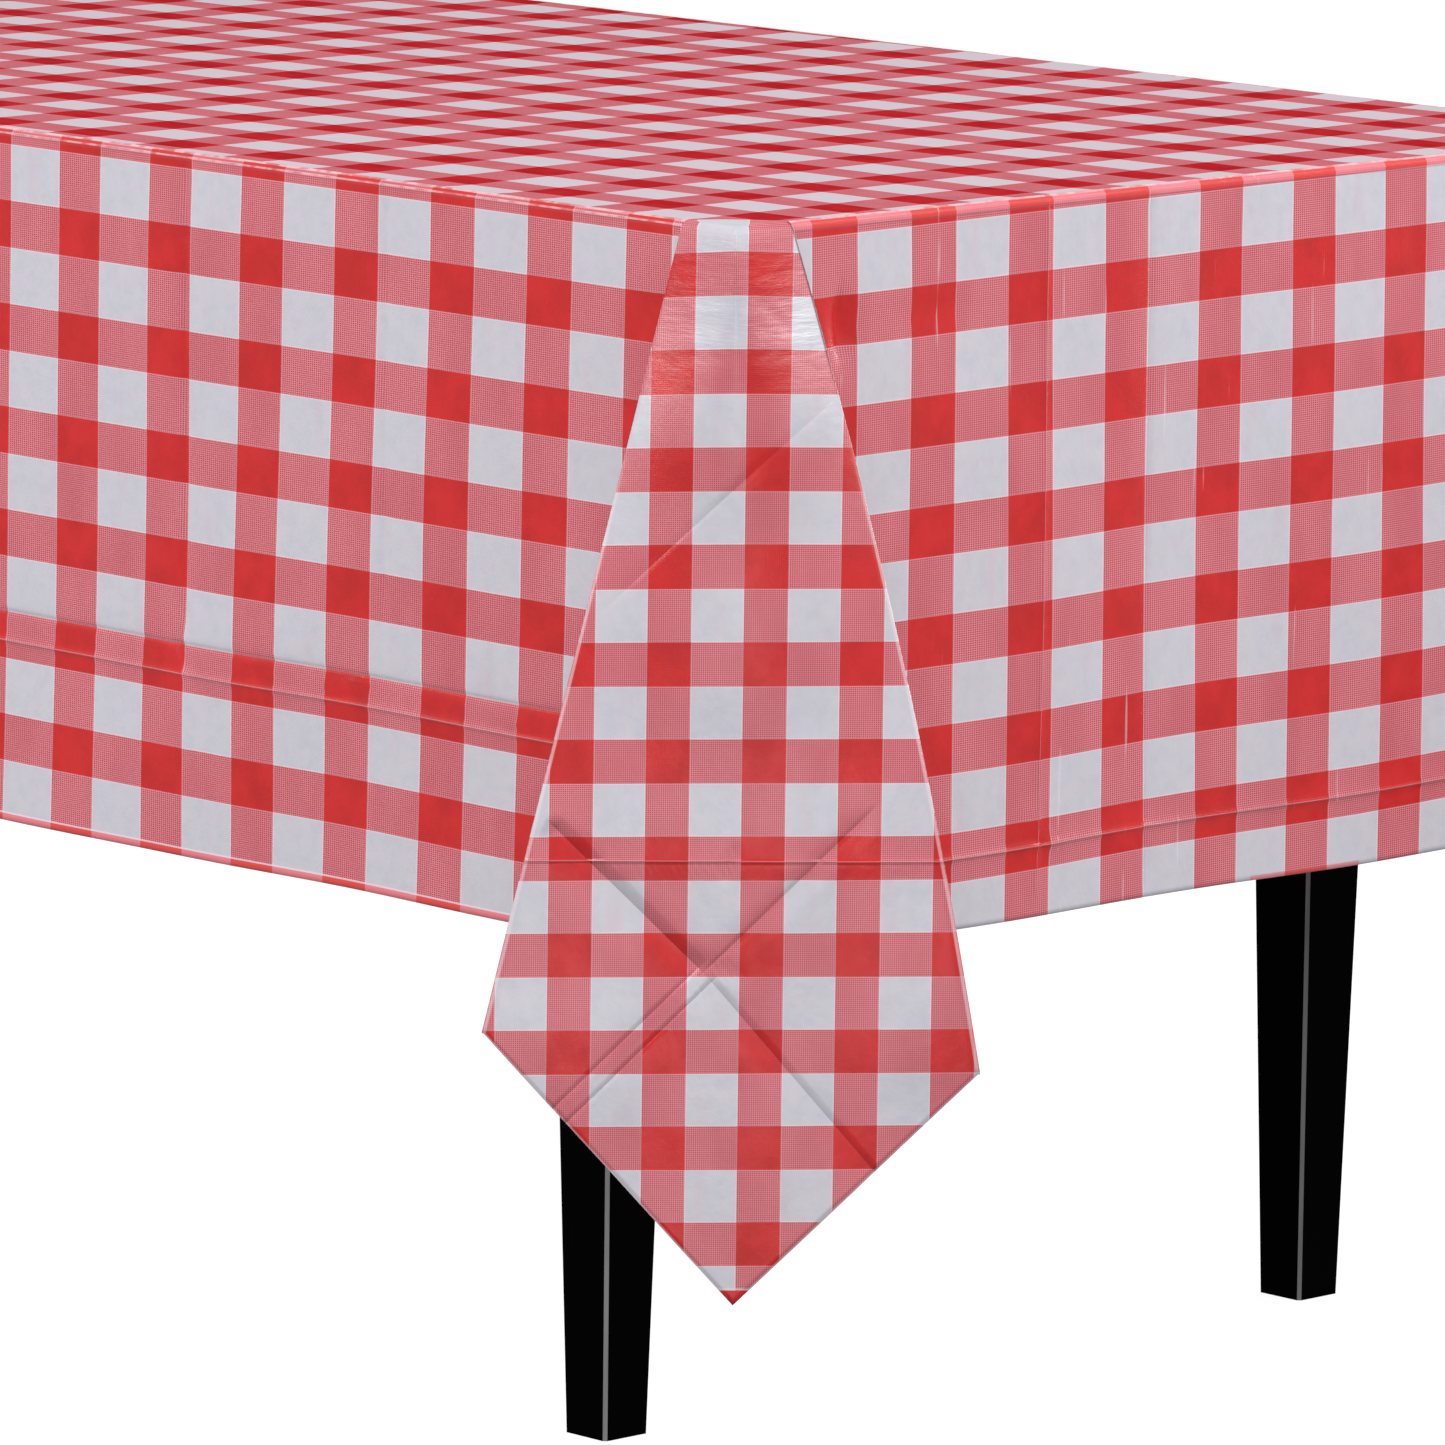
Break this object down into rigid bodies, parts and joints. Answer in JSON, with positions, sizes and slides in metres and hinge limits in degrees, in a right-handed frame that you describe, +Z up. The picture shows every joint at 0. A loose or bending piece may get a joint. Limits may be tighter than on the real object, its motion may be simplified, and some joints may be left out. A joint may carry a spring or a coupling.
{
  "type": "tablecloth on a table",
  "caption": "Long rectangular table on tapered square legs, under a red and white checked plastic tablecloth that lifts off, with flat drops and a folded ear at each corner.",
  "frame": {"origin": "on the floor under the middle of the table", "axes": "+X along the table's long side, +Z up, -Y towards the front long side"},
  "size_m": [2.0796, 1.0496, 0.7618],
  "materials": {
    "cloth_film": "thin glossy plastic film printed with a red and white gingham check",
    "black_paint": "satin black paint on hardwood",
    "top_board": "clear-finished board",
    "bare_beech": "bare planed beech",
    "zinc_steel": "bright zinc plate"
  },
  "bodies": {
    "table": {"leg_front_right": "black_paint", "leg_front_left": "black_paint", "leg_back_right": "black_paint", "leg_back_left": "black_paint", "apron_front": "black_paint", "apron_back": "black_paint", "apron_left": "black_paint", "apron_right": "black_paint", "tabletop": "top_board", "corner_brace_front_right": "bare_beech", "corner_brace_front_left": "bare_beech", "corner_brace_back_right": "bare_beech", "corner_brace_back_left": "bare_beech", "cross_rail": "bare_beech", "hanger_bolt_front_right": "zinc_steel", "washer_front_right": "zinc_steel", "nut_front_right": "zinc_steel", "brace_screw_front_right_long_side": "zinc_steel", "brace_screw_front_right_end": "zinc_steel", "top_screw_front_right": "zinc_steel", "hanger_bolt_front_left": "zinc_steel", "washer_front_left": "zinc_steel", "nut_front_left": "zinc_steel", "brace_screw_front_left_long_side": "zinc_steel", "brace_screw_front_left_end": "zinc_steel", "top_screw_front_left": "zinc_steel", "hanger_bolt_back_right": "zinc_steel", "washer_back_right": "zinc_steel", "nut_back_right": "zinc_steel", "brace_screw_back_right_long_side": "zinc_steel", "brace_screw_back_right_end": "zinc_steel", "top_screw_back_right": "zinc_steel", "hanger_bolt_back_left": "zinc_steel", "washer_back_left": "zinc_steel", "nut_back_left": "zinc_steel", "brace_screw_back_left_long_side": "zinc_steel", "brace_screw_back_left_end": "zinc_steel", "top_screw_back_left": "zinc_steel", "rail_screw_front": "zinc_steel", "rail_screw_back": "zinc_steel", "top_screw_rail_front": "zinc_steel", "top_screw_rail_back": "zinc_steel"},
    "tablecloth": {"tablecloth_top": "cloth_film", "tablecloth_front_drop": "cloth_film", "tablecloth_back_drop": "cloth_film", "tablecloth_left_drop": "cloth_film", "tablecloth_right_drop": "cloth_film", "tablecloth_corner_front_right": "cloth_film", "tablecloth_corner_front_left": "cloth_film", "tablecloth_corner_back_right": "cloth_film", "tablecloth_corner_back_left": "cloth_film"}
  },
  "joints": [
    {"name": "tablecloth_lift", "type": "slide", "parent": "table", "child": "tablecloth", "axis": [0, 0, 1], "range_m": [0, 0.7]}
  ]
}
